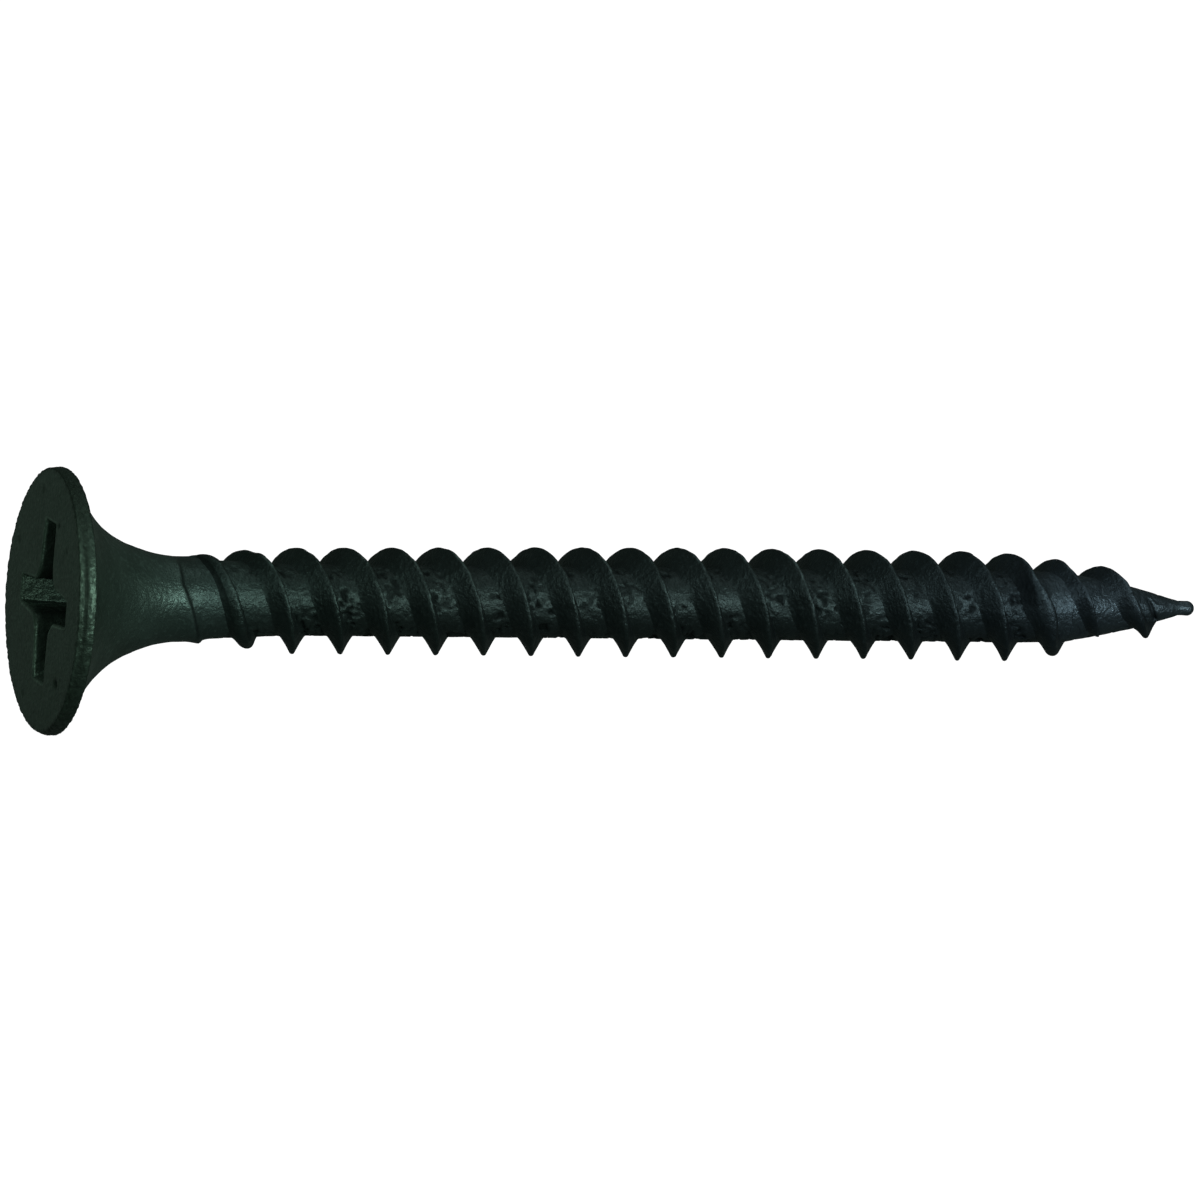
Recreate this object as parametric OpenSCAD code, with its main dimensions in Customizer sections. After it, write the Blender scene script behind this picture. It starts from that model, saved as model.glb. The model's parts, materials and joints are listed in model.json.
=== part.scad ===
// Cross-recessed screw with a trumpet-shaped (bugle) head and a coarse two-start thread.
// It lies along X. The origin is the centre of the head's flat face, the point is at +X,
// and +Z is up. The screw is one piece of steel, so its regions meet face to face.

/* [Overall] */
// Length from the head's face to the tip of the point
length = 38.1; // [32:0.1:50]
// Diameter of the plain shank, which is the wire that the screw is made from
shank_d = 2.7; // [2.6:0.05:2.9]

/* [Head] */
// Diameter of the head
head_d = 8.5; // [8.2:0.1:8.8]
// Rounding between the face and the edge
rim_round = 0.1; // [0.05:0.01:0.15]
// Radius of the hollow curve under the head
bugle_r = 4; // [3.8:0.05:4.1]
// Where the hollow curve runs out into the shank, from the face
neck_x = 4.45; // [4.4:0.05:4.6]

/* [Cross recess] */
// Tip-to-tip width of the recess at the face
recess_d = 5; // [4.8:0.05:5.2]
// Width of a wing at its outer end
wing_w = 0.94; // [0.8:0.02:1.1]
// How far each side of a wing spreads towards the centre, in degrees
wing_spread = 10; // [6:1:12]
// Slope of a wing's end wall from the axis, in degrees
wing_slope = 26.5; // [25:0.5:28]
// Depth of the wings
wing_depth = 2.35; // [2:0.05:2.5]
// Extra depth of the bottom at the centre
bottom_dip = 0.3; // [0.2:0.05:0.4]
// Flat-to-flat width of the bevel between the wings, at the face
bevel_w = 2.3; // [2.25:0.01:2.4]
// Turn of the recess about the screw's axis, in degrees
recess_turn = 10; // [0:1:90]

/* [Thread] */
// Diameter over the crests
crest_d = 3.42; // [3.3:0.02:3.5]
// Diameter at the root
root_d = 2.18; // [2.1:0.02:2.3]
// Advance of each start in one turn
lead = 3.15; // [3:0.05:3.3]
// Angle between a ridge's two flanks, in degrees
flank_angle = 60; // [50:1:60]
// Width of the flat at the crest
crest_w = 0.08; // [0.06:0.01:0.12]
// Where the thread begins, from the face
run_in_x = 4.9; // [4.8:0.05:5.1]
// Length over which the ridges rise to full height
run_in_l = 3.3; // [3:0.1:4]
// Where start A crosses the top of the screw, from the face
start_a_x = 8.31; // [7:0.01:10]

/* [Point] */
// Length of the cone
cone_l = 3.75; // [3.4:0.05:4.2]
// Length of the nib at the tip
nib_l = 0.55; // [0.4:0.05:0.7]
// Diameter of the nib
nib_d = 0.46; // [0.36:0.02:0.5]
// Distance from the end of the cone at which start A runs out
end_a_gap = 2.6; // [2.4:0.1:3]
// Distance from the end of the cone at which start B runs out
end_b_gap = 0.25; // [0.2:0.05:0.5]
// Length over which a ridge runs out
run_out_l = 0.9; // [0.7:0.1:1.2]

/* [Hidden] */
$fn = 96;

head_r = head_d / 2;
shank_r = shank_d / 2;
crest_r = crest_d / 2;
root_r = root_d / 2;
nib_r = nib_d / 2;
cone_end_x = length - nib_l;
cone_x = cone_end_x - cone_l;

// Place on the axis where the hollow curve has the radius r
function bugle_x(r) = neck_x - sqrt(pow(bugle_r, 2) - pow(bugle_r + shank_r - r, 2));

// The curve ends at the rounded edge
rim_h = bugle_x(head_r - rim_round);
// The head ends past the recess, where the curve has closed in to this radius
head_end_r = 1.65;
head_end_x = bugle_x(head_end_r);

// Root radius along the axis: a quick drop as the thread begins, then a full-bodied cone
root_profile = [
    [run_in_x, shank_r],
    [run_in_x + 0.6, shank_r - 0.15],
    [run_in_x + run_in_l - 0.5, root_r],
    [cone_x, root_r],
    [cone_x + 0.6 * cone_l, nib_r + 0.48 * (root_r - nib_r)],
    [cone_end_x, nib_r]
];

// Crest radius along the axis: it grows out of the shank and closes in over the cone
crest_profile = [
    [run_in_x, shank_r],
    [run_in_x + run_in_l / 2, shank_r + 0.6 * (crest_r - shank_r)],
    [run_in_x + run_in_l, crest_r],
    [cone_x - 1.9, crest_r],
    [cone_x - 0.3, crest_r - 0.16],
    [cone_x + 1.3, crest_r - 0.36],
    [cone_x + 2.8, crest_r - 0.8],
    [cone_end_x, nib_r + 0.2]
];

// A ridge is swept as one ring for each of these steps of the turn
rings_per_turn = 32;
ring_step = 360 / rings_per_turn;
// Depth of a ridge's foot inside the core
foot_sink = 0.02;
// The foot of each flank is hollow: share of the height, and its spread along the axis
foot_share = 0.25;
foot_spread = 0.13;
// A ridge stops this far short of where its height would be nothing
end_stub = 0.1;
// Length of the recess's cutting shapes past the face that they open
past = 0.2;
// Thickness of the outlines between which a cutting shape is stretched
skin = 0.01;

head_color = [0.12, 0.15, 0.14];
thread_color = [0.09, 0.11, 0.12];

function root_at(x) = lookup(x, root_profile);

// Height of a ridge that runs out at end_x
function ridge_height(x, end_x) =
    (lookup(x, crest_profile) - root_at(x)) * min(1, (end_x - x) / run_out_l);

function on_screw(x, r, turn) = [x, r * cos(turn), r * sin(turn)];

// One ring of a ridge: foot, hollow, crest, crest, hollow, foot
function ridge_ring(x, turn, h) =
    let(
        half_w = crest_w / 2 + h * tan(flank_angle / 2),
        foot = half_w + foot_spread * h,
        hollow = half_w - foot_share * h * tan(flank_angle / 2)
    )
    [
        on_screw(x - foot, root_at(x - foot) - foot_sink, turn),
        on_screw(x - hollow, root_at(x) + foot_share * h, turn),
        on_screw(x - crest_w / 2, root_at(x) + h, turn),
        on_screw(x + crest_w / 2, root_at(x) + h, turn),
        on_screw(x + hollow, root_at(x) + foot_share * h, turn),
        on_screw(x + foot, root_at(x + foot) - foot_sink, turn)
    ];

// Right-handed ridge between two places on the axis. It crosses the top (+Z) at top_x.
module ridge(top_x, from_x, to_x) {
    first = ceil((from_x - top_x) / lead * rings_per_turn);
    last = floor((to_x - top_x) / lead * rings_per_turn);
    rings = [
        for (i = [first:last])
            let(x = top_x + lead * i / rings_per_turn)
            ridge_ring(x, 90 + i * ring_step, ridge_height(x, to_x + end_stub))
    ];
    sides = 6;
    count = len(rings);
    points = [for (ring = rings) each ring];
    start_cap = [for (j = [0:sides - 1]) j];
    end_cap = [for (j = [sides - 1:-1:0]) (count - 1) * sides + j];
    walls = [
        for (i = [0:count - 2], j = [0:sides - 1])
            let(
                a = i * sides + j,
                b = i * sides + (j + 1) % sides
            )
            each [[a, a + sides, b], [b, a + sides, b + sides]]
    ];
    polyhedron(points, concat([start_cap, end_cap], walls), convexity = 10);
}

// Turns a shape that was drawn about Z so that its Z runs along X
module along_x() {
    rotate([0, 90, 0]) children();
}

// Half-section of the head and its hollow underside, out to the plain shank
module bugle_section() {
    difference() {
        union() {
            translate([0, rim_round]) square([head_r, rim_h - 2 * rim_round]);
            translate([head_r - rim_round, rim_round]) circle(rim_round);
            translate([head_r - rim_round, rim_h - rim_round]) circle(rim_round);
            square([head_r - rim_round, neck_x]);
        }
        translate([shank_r + bugle_r, neck_x]) circle(bugle_r);
    }
}

// Outline of a pair of opposite wings: wide in the middle and narrow at the ends
module wing_outline(half_l) {
    end_w = wing_w / 2;
    mid_w = end_w + half_l * tan(wing_spread);
    polygon([
        [half_l, -end_w],
        [half_l, end_w],
        [0, mid_w],
        [-half_l, end_w],
        [-half_l, -end_w],
        [0, -mid_w]
    ]);
}

// A pair of opposite wings, from just outside the face down to the bottom
module wing_pair() {
    dip_w = 0.2;
    lean = tan(wing_slope);
    hull() {
        translate([0, 0, -past])
            linear_extrude(skin) wing_outline(recess_d / 2 + past * lean);
        translate([0, 0, wing_depth - skin])
            linear_extrude(skin) wing_outline(recess_d / 2 - wing_depth * lean);
        translate([0, 0, wing_depth + bottom_dip - skin])
            linear_extrude(skin) square(dip_w, center = true);
    }
}

// The bevel that breaks the corners between neighbouring wings
module corner_bevel() {
    lean = tan(wing_slope / 4);
    top_w = bevel_w + 2 * past * lean;
    low_w = bevel_w - 2 * wing_depth * lean;
    rotate([0, 0, 45]) hull() {
        translate([0, 0, -past])
            linear_extrude(skin) square(top_w, center = true);
        translate([0, 0, wing_depth - skin])
            linear_extrude(skin) square(low_w, center = true);
    }
}

module recess() {
    rotate([recess_turn, 0, 0]) along_x() {
        wing_pair();
        rotate([0, 0, 90]) wing_pair();
        corner_bevel();
    }
}

// Flat face, round edge and trumpet-shaped underside, with the recess for the driver
module head() {
    color(head_color) difference() {
        along_x() rotate_extrude() intersection() {
            bugle_section();
            square([head_d, head_end_x]);
        }
        recess();
    }
}

// End of the hollow curve, and the short plain shank
module neck() {
    color(head_color) along_x() rotate_extrude() {
        intersection() {
            bugle_section();
            translate([0, head_end_x]) square([head_d, neck_x - head_end_x]);
        }
        translate([0, neck_x]) square([shank_r, run_in_x - neck_x]);
    }
}

// Half-section under the root profile, between two of its points
module root_section(first, last) {
    outline = [for (i = [first:last]) [root_profile[i][1], root_profile[i][0]]];
    polygon(concat([[0, root_profile[first][0]]], outline, [[0, root_profile[last][0]]]));
}

// Rolled core that the ridges stand on
module core() {
    color(thread_color) along_x() rotate_extrude() root_section(0, 3);
}

// First ridge, which fades out soon after the cone begins
module thread_a() {
    color(thread_color)
        ridge(start_a_x, run_in_x + end_stub, cone_end_x - end_a_gap);
}

// Second ridge, half a turn from the first, which goes on to the tip and starts the hole
module thread_b() {
    color(thread_color)
        ridge(start_a_x + lead / 2, run_in_x + end_stub, cone_end_x - end_b_gap);
}

// Cone and round-ended nib
module point() {
    color(thread_color) along_x() rotate_extrude() {
        root_section(3, 5);
        translate([0, cone_end_x]) square([nib_r, nib_l - nib_r]);
        translate([0, length - nib_r]) intersection() {
            circle(nib_r);
            square(nib_d);
        }
    }
}

head();
neck();
core();
thread_a();
thread_b();
point();
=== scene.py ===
"""A bugle-head wood screw in black phosphated steel, held level with its rim on a pale floor.

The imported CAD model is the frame. Each of its six regions is replaced by a finer piece, with soft edges,
rolled ridges, tool marks, dents and a procedural phosphate finish.
Lengths are in millimetres until a mesh is made.
The screw lies along X, with its face at 0 and its point at +X.
A turn is an angle about X: 0 degrees is +Y, 90 is the top, 180 is the camera's side and 270 is the bottom.
"""

import json
import math

import bpy
import numpy as np
from mathutils import Matrix, Vector, noise


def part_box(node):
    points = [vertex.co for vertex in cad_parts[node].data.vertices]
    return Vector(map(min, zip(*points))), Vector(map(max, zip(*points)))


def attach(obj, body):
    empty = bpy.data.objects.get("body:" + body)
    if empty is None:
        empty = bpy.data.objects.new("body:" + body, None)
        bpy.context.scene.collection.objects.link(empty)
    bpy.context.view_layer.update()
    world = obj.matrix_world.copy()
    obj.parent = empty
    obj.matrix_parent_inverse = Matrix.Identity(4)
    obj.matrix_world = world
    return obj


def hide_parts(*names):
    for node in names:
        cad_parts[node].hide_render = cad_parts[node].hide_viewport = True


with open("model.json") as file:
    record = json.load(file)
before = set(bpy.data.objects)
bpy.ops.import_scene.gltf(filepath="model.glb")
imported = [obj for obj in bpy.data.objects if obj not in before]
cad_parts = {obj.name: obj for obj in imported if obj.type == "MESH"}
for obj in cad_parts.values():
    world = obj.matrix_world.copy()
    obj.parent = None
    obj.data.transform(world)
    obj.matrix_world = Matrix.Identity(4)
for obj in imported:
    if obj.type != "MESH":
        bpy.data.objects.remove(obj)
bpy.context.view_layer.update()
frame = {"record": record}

MM = 0.001


# ---------------------------------------------------------------- sizes, in millimetres

def box_mm(name):
    """Lowest and highest corner of a CAD node."""
    low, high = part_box(name)
    return low / MM, high / MM


def mount_x(name):
    """Place of a mount along the axis."""
    mounts = {mount["name"]: mount for mount in frame["record"]["mounts"]}
    return mounts[name]["pos_m"][0] / MM


HEAD_R = box_mm("head")[1].z
HEAD_END_X = box_mm("head")[1].x
NECK_X = mount_x("bugle_seat")
THREAD_X = box_mm("core")[0].x
CONE_X = box_mm("core")[1].x
SHANK_R = box_mm("core")[1].z
ROOT_R = box_mm("point")[1].z
CREST_R = box_mm("thread_a")[1].z
# The nib is a little longer than in the CAD model
TIP_X = box_mm("point")[1].x + 0.08

# Hollow underside of the head
BUGLE_R = 4.0
# The hollow curve is a little fuller than an arc before it meets the shank
FLARE_FULL = 0.045
FLARE_FULL_X = 3.0
FLARE_FULL_W = 0.9

# Rim of the head, from its rounded back edge, over a bead, a groove and a bead, to its rounded front edge
RIM_END_X = 0.634
RIM_END_R = HEAD_R - 0.08
RIM_R = HEAD_R - 0.01
BACK_ROUND_X = 0.53
BACK_BEAD_X = 0.50
BACK_BEAD_W = 0.10
GROOVE_X = 0.255
GROOVE_W = 0.075
GROOVE_DEPTH = 0.035
FRONT_BEAD_X = 0.09
FRONT_BEAD_W = 0.06
FRONT_ROUND_X = 0.05
FRONT_ROUND_R = 0.06
# The front of the rim is rubbed down, most of all at the bottom
RUBBED_X = 0.34
RUBBED_L = 0.28
RUBBED_DEPTH = 0.04
LOW_RUBBED_DEPTH = 0.05

# Face of the head, which falls back towards its edge
FACE_X = 0.012
FACE_FALL = 0.02
EDGE_X = FACE_X + FACE_FALL
# The face also bends back this far at its top and bottom
FACE_BEND = 0.10
# The forged head leans a little and sits a little low on its shank
HEAD_LEAN = math.tan(math.radians(1.5))
HEAD_DROP = 0.1

# Recess: one pair of wings along the turn of RECESS_TURN, the other pair square to it
RECESS_TURN = math.radians(10)
# The punch struck a little towards the camera's side of the middle
RECESS_Y = -0.22
# Middle of the recess before it is turned
RECESS_MIDDLE = np.array([RECESS_Y * math.cos(RECESS_TURN), -RECESS_Y * math.sin(RECESS_TURN)])
WING_L = 2.56
LEVEL_WING_W = 0.40
UPRIGHT_WING_W = 0.54
WING_SPREAD = math.tan(math.radians(4.5))
WING_LEAN = math.tan(math.radians(26.5))
WING_DEPTH = 2.35
BOTTOM_DIP = 0.3
BEVEL_W = 1.12
BEVEL_LEAN = WING_LEAN / 4
RECESS_EDGE = 0.11
INNER_CORNER = 0.14
BEVEL_BLEND = 0.16

# Thread
LEAD = 3.15
TOP_A_X = 8.31
TOP_B_X = TOP_A_X + LEAD / 2
RUN_IN_L = 3.3
RUN_OUT_L = 0.9
FLANK = math.tan(math.radians(30))
CREST_ROUND = 0.09
BLUNT_ROUND = 0.18
FOOT_SINK = 0.05
FOOT_FILLET = 0.05
# The dies didn't quite match, so the ridges wander forward at the top and back at the bottom of each turn
WANDER = 0.045
# On the camera's side the crests lean forward over a foot that sits further back
CREST_LEAN = 0.19
FOOT_BACK = 0.11

# Point
NIB_R = 0.235
NIB_L = 0.6
CONE_END_X = TIP_X - NIB_L
CONE_L = CONE_END_X - CONE_X
END_A_X = CONE_END_X - 2.6
END_B_X = CONE_END_X - 0.25
# The groove where the steel was pinched off, behind the last ridge on the camera's side
CRACK_X = CONE_END_X - 0.96
CRACK_SLANT = 0.3
CRACK_DEPTH = 0.11
CRACK_W = 0.08
# It fades in and out past these turns
CRACK_FROM = math.radians(140)
CRACK_TO = math.radians(250)

# The dies take hold of the blank here; before it the shank is plain
DIE_X = 4.25
# The rolled groove begins this far behind a ridge, and reaches its depth over this length
BEHIND_RIDGE = 0.05
ROLL_EDGE_L = 0.12
# Each ridge grows from a soft swelling
SWELLING = 0.05
SWELLING_W = 0.2

# Profiles: places along the axis, each with a radius or a height
CORE_R = ROOT_R + 0.035
ROOT_PROFILE = [
    (DIE_X, SHANK_R - 0.03),
    (THREAD_X, SHANK_R - 0.05),
    (THREAD_X + 0.6, SHANK_R - 0.10),
    (THREAD_X + RUN_IN_L - 0.5, CORE_R + 0.02),
    (THREAD_X + RUN_IN_L + 2, CORE_R),
    (CONE_X - 1.5, CORE_R + 0.01),
    (CONE_X, CORE_R - 0.01),
    (CONE_X + 0.6 * CONE_L, NIB_R + 0.52 * (ROOT_R - NIB_R)),
    (CONE_END_X, NIB_R + 0.02),
]
CREST_PROFILE = [
    (THREAD_X - 0.4, SHANK_R - 0.01),
    (THREAD_X, SHANK_R + 0.02),
    (THREAD_X + RUN_IN_L / 2, SHANK_R + 0.6 * (CREST_R - SHANK_R)),
    (THREAD_X + RUN_IN_L, CREST_R),
    (CONE_X - 6, CREST_R),
    (CONE_X - 1.9, CREST_R + 0.03),
    (CONE_X - 0.3, CREST_R - 0.14),
    (CONE_X + 1.3, CREST_R - 0.36),
    (CONE_X + 2.8, CREST_R - 0.74),
    (CONE_END_X, NIB_R + 0.2),
]
# How much higher the crest stands at the top than at the bottom
UPPER_LIFT = [
    (THREAD_X + 0.65 * RUN_IN_L, 0.0),
    (THREAD_X + RUN_IN_L, -0.05),
    (TIP_X * 0.42, 0.03),
    (TIP_X * 0.55, 0.07),
    (TIP_X * 0.67, 0.06),
    (CONE_X - 3.5, 0.03),
    (CONE_X - 1.5, -0.04),
    (CONE_END_X, 0.0),
]


# ---------------------------------------------------------------- helpers for shapes

def smooth_step(value):
    """0 below 0, 1 above 1 and a smooth rise between."""
    value = np.clip(value, 0.0, 1.0)
    return value * value * (3 - 2 * value)


def smooth_min(a, b, blend):
    """The lower of two values, rounded over where they cross."""
    share = np.clip(0.5 + 0.5 * (b - a) / blend, 0.0, 1.0)
    return b + (a - b) * share - blend * share * (1 - share)


def hump(value, middle, half_w):
    """A bell curve of height 1."""
    return np.exp(-((value - middle) / half_w) ** 2)


def along(profile, x):
    """A profile's value at these places on the axis."""
    places, values = zip(*profile)
    return np.interp(x, places, values)


def on_screw(x, radius, turn):
    """Points at these places along the axis, radii and turns in radians."""
    x, radius, turn = np.broadcast_arrays(x, radius, turn)
    return np.stack([x, radius * np.cos(turn), radius * np.sin(turn)], axis=-1)


def turns(sides):
    """Even turns round the screw, as one row."""
    return (np.arange(sides) * 2 * math.pi / sides)[None, :]


def arc(start, end, count):
    """Sines and cosines of even steps between two angles in degrees."""
    steps = np.radians(np.linspace(start, end, count))
    return list(zip(np.sin(steps), np.cos(steps)))


def relief(points, size, seed):
    """Smooth noise from about -1 to 1 at each point, with bumps of about this size."""
    shift = Vector((seed * 17.3, seed * 5.1, seed * 9.7))
    values = [noise.noise(Vector(p) + shift) for p in points.reshape(-1, 3) / size]
    return np.array(values).reshape(points.shape[:-1])


def waves(points, layers):
    """Height of layers of smooth noise, each given as the size of its bumps, their height and a seed."""
    return sum(relief(points, size, seed) * height for size, height, seed in layers)


def veins(points, size, seed, width):
    """A net of lines, 1 along each line and 0 beside it."""
    return 1 - smooth_step(np.abs(relief(points, size, seed)) / width)


def turned_about_axis(points, angle):
    """Points turned about X."""
    c, s = math.cos(angle), math.sin(angle)
    y, z = points[..., 1], points[..., 2]
    return np.stack([points[..., 0], y * c - z * s, y * s + z * c], axis=-1)


def ring_normals(points):
    """Unit normals of a skin of rings. They point outward where the rings run towards +X."""
    across = np.roll(points, -1, axis=1) - np.roll(points, 1, axis=1)
    down = np.gradient(points, axis=0)
    normals = np.cross(down, across)
    return -normals / np.maximum(np.linalg.norm(normals, axis=-1, keepdims=True), 1e-12)


# ---------------------------------------------------------------- helpers for meshes

def skin_faces(rings, sides):
    """Faces of a closed skin over rings of points, with a fan at each end."""
    ring, side = np.meshgrid(np.arange(rings - 1), np.arange(sides), indexing="ij")
    after = (side + 1) % sides
    quads = np.stack([
        ring * sides + side,
        ring * sides + after,
        (ring + 1) * sides + after,
        (ring + 1) * sides + side,
    ], axis=-1).reshape(-1, 4)
    row = np.arange(sides)
    next_row = (row + 1) % sides
    last_ring = (rings - 1) * sides
    start_middle = rings * sides
    end_middle = start_middle + 1
    start_fan = np.stack([next_row, row, np.full(sides, start_middle)], axis=-1)
    end_fan = np.stack([last_ring + row, last_ring + next_row, np.full(sides, end_middle)], axis=-1)
    return quads.tolist() + start_fan.tolist() + end_fan.tolist()


def skin_volume(points):
    """Signed volume inside rings of points, positive if skin_faces turns its faces outwards."""
    a = points[:-1]
    b = np.roll(points, -1, axis=1)[:-1]
    c = np.roll(points, -1, axis=1)[1:]
    d = points[1:]
    return float((np.cross(a, b) * c).sum() + (np.cross(a, c) * d).sum()) / 6


# The masks, and their values where a piece gives none: the first rubs the coat through, real wear with a
# painted highlight in it, the second darkens and dulls it with dirt and painted shade, and the third is the
# coat's brightness, with painted highlight and shade in it
PLAIN_MASKS = {"wear": 0.0, "pits": 0.0, "polish": 1.0}
# Edges sharper than this aren't shaded smooth
SHARP_ANGLE = math.radians(60)


def make_piece(name, points, **given):
    """A smooth closed mesh object from rings of points in millimetres, with its masks as attributes."""
    masks = {}
    for label, value in PLAIN_MASKS.items():
        masks[label] = given.get(label, np.full(points.shape[:2], value))
    if skin_volume(points) < 0:
        points = points[:, ::-1]
        masks = {label: values[:, ::-1] for label, values in masks.items()}
    rings, sides = points.shape[:2]
    ends = [points[0].mean(axis=0), points[-1].mean(axis=0)]
    corners = np.vstack([points.reshape(-1, 3), ends]) * MM
    mesh = bpy.data.meshes.new(name)
    mesh.from_pydata(corners.tolist(), [], skin_faces(rings, sides))
    for label, values in masks.items():
        layer = mesh.attributes.new(label, "FLOAT", "POINT")
        at_ends = [values[0].mean(), values[-1].mean()]
        layer.data.foreach_set("value", np.append(values.reshape(-1), at_ends).astype(np.float32))
    mesh.shade_smooth()
    mesh.set_sharp_from_angle(angle=SHARP_ANGLE)
    mesh.update()
    piece = bpy.data.objects.new(name, mesh)
    bpy.context.scene.collection.objects.link(piece)
    return piece


# ---------------------------------------------------------------- shape of the blank

def bugle_radius(x):
    """Radius of the hollow curve under the head, and of the shank past it."""
    before = np.clip(NECK_X - x, 0, BUGLE_R)
    hollow = SHANK_R + BUGLE_R - np.sqrt(BUGLE_R ** 2 - before ** 2)
    return hollow + FLARE_FULL * hump(x, FLARE_FULL_X, FLARE_FULL_W)


def first_ridge(turn):
    """The first ridge at each turn, as its share of half a turn in radians and its place along the axis."""
    half_turn = np.mod(turn - math.pi / 2, math.pi)
    return half_turn, TOP_B_X - 2 * LEAD + LEAD * half_turn / (2 * math.pi)


def roll_start_x(turn):
    """Where the rolled groove begins: at the dies' edge, or behind the ridge that starts there."""
    _, ridge_x = first_ridge(turn)
    return np.maximum(DIE_X, ridge_x + BEHIND_RIDGE)


def swelling(x, turn):
    """Height of the soft swelling from which each ridge grows."""
    half_turn, ridge_x = first_ridge(turn)
    begins = smooth_step((half_turn - 1) / 1.5) * hump(x, ridge_x, SWELLING_W)
    ends = (1 - smooth_step(half_turn / 1.5)) * hump(x, ridge_x + LEAD / 2, SWELLING_W)
    return SWELLING * (begins + ends)


def core_radius(x, turn):
    """Radius of the blank, with the groove that the dies press into it."""
    blank = bugle_radius(x)
    rolled = smooth_step((x - roll_start_x(turn)) / ROLL_EDGE_L)
    return np.where(x < DIE_X, blank, blank + (along(ROOT_PROFILE, x) - blank) * rolled) + swelling(x, turn)


def head_leaned(points):
    """The head leans and sits low, and the lean fades out along the hollow curve."""
    x, z = points[..., 0], points[..., 2]
    share = 1 - smooth_step((x - RIM_END_X) / (HEAD_END_X + 1.0 - RIM_END_X))
    leaned = points.copy()
    leaned[..., 0] += z * HEAD_LEAN * share
    leaned[..., 0] += FACE_BEND * (z / HEAD_R) ** 2 * (1 - smooth_step(x / RIM_END_X))
    leaned[..., 2] -= HEAD_DROP * share
    return leaned


# ---------------------------------------------------------------- outline of the recess

HEAD_SIDES = 400


def recess_reach(fold, depth, half_w=LEVEL_WING_W):
    """Distance from the axis to the recess's wall, for a turn folded into 0 to 45 degrees from a wing."""
    wing_l = WING_L - depth * WING_LEAN
    bevel = BEVEL_W - depth * BEVEL_LEAN
    end = wing_l / np.cos(fold)
    side = (half_w + wing_l * WING_SPREAD) / (np.sin(fold) + WING_SPREAD * np.cos(fold))
    corner = bevel / np.cos(math.pi / 4 - fold)
    return -smooth_min(-smooth_min(end, side, INNER_CORNER), -corner, BEVEL_BLEND)


def recess_turns():
    """Turns of the points round the recess, evenly spaced along its outline at the face."""
    fold = np.linspace(0, math.pi / 4, 2000)
    reach = recess_reach(fold, 0.0)
    steps = np.hypot(np.diff(reach * np.cos(fold)), np.diff(reach * np.sin(fold)))
    run = np.concatenate([[0], np.cumsum(steps)])
    eighth = np.interp(np.linspace(0, run[-1], HEAD_SIDES // 8 + 1), run, fold)
    quarter = np.concatenate([eighth[:-1], math.pi / 2 - eighth[:0:-1]])
    return np.concatenate([quarter + i * math.pi / 2 for i in range(4)])


def recess_outline(around, depth, grow=0.0):
    """Outline of the recess at a depth, grown by a distance, as (Y, Z) points before the recess is turned."""
    quarter = np.mod(around, math.pi / 2)
    half_w = np.where(np.abs(np.sin(around)) > np.abs(np.cos(around)), UPRIGHT_WING_W, LEVEL_WING_W)
    reach = recess_reach(np.minimum(quarter, math.pi / 2 - quarter), depth, half_w)
    line = np.stack([reach * np.cos(around), reach * np.sin(around)], axis=-1)
    ahead = np.roll(line, -1, axis=0) - np.roll(line, 1, axis=0)
    outward = np.stack([ahead[:, 1], -ahead[:, 0]], axis=-1)
    outward /= np.linalg.norm(outward, axis=1, keepdims=True)
    return line + outward * grow + RECESS_MIDDLE


# ---------------------------------------------------------------- head

# Rings of points along each part of the head
UNDERSIDE_RINGS = 44
RIM_RINGS = 36
FACE_RINGS = 40
WALL_RINGS = 20

# Dents on the head: place (X, Y, Z), half width and depth
HEAD_DENTS = [
    ((0.0, -1.70, -2.62), 0.13, 0.09),
    ((0.0, 1.9, -2.9), 0.12, 0.03),
    ((0.0, -2.6, 1.5), 0.10, 0.03),
    ((0.0, 2.8, 1.9), 0.15, 0.03),
    ((0.0, -1.55, 2.35), 0.09, 0.04),
    ((0.0, 0.4, 3.5), 0.14, 0.025),
    ((0.3, -3.9, 1.7), 0.10, 0.03),
    ((0.3, -3.6, -2.3), 0.12, 0.04),
    ((0.4, -0.9, 4.15), 0.12, 0.03),
]

# How much darker a dent or crack is, and how much darker a torn root is, for each millimetre of its depth
DARKER_PER_MM = 12
ROOT_DARKER_PER_MM = 13

# Brightness of the rim, and how much brighter a painted highlight makes its sides and its beads
RIM_POLISH = 0.80
SIDE_HIGHLIGHT = 0.09
BEAD_HIGHLIGHT = 0.33
FRONT_BEAD_SHARE = 1.2
# Brightness of the face, how much darker painted shade makes its top and bottom, and how much brighter the
# recess's edge is, by rubbing and a painted highlight
FACE_POLISH = 0.965
FACE_TOP_BOTTOM_SHADE = 0.035
EDGE_RUB_AND_HIGHLIGHT = 0.3
# Painted shade on the rim's upper part and in the recess's corners, and specks of dirt on the rim
RIM_TOP_SHADE = 0.45
RECESS_CORNER_SHADE = 0.75
RIM_SPECKS = 0.5

# Layers of noise: size of the bumps, height and seed
HEAD_WAVES = [(1.1, 0.012, 1), (0.3, 0.006, 2)]
RIM_WAVES = [(0.12, 0.028, 12)]
RECESS_WAVES = [(0.22, 0.03, 15)]


class Skin:
    """Rings of points round the head and their masks, added one ring at a time."""

    def __init__(self):
        self.rings = []
        self.masks = {label: [] for label in PLAIN_MASKS}

    def add(self, x, outline, **given):
        """A ring at this place along the axis. A mask is one value, or one for each point."""
        self.rings.append(np.column_stack([np.full(HEAD_SIDES, x), outline]))
        for label, value in PLAIN_MASKS.items():
            self.masks[label].append(np.broadcast_to(given.get(label, value), HEAD_SIDES))


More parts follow.
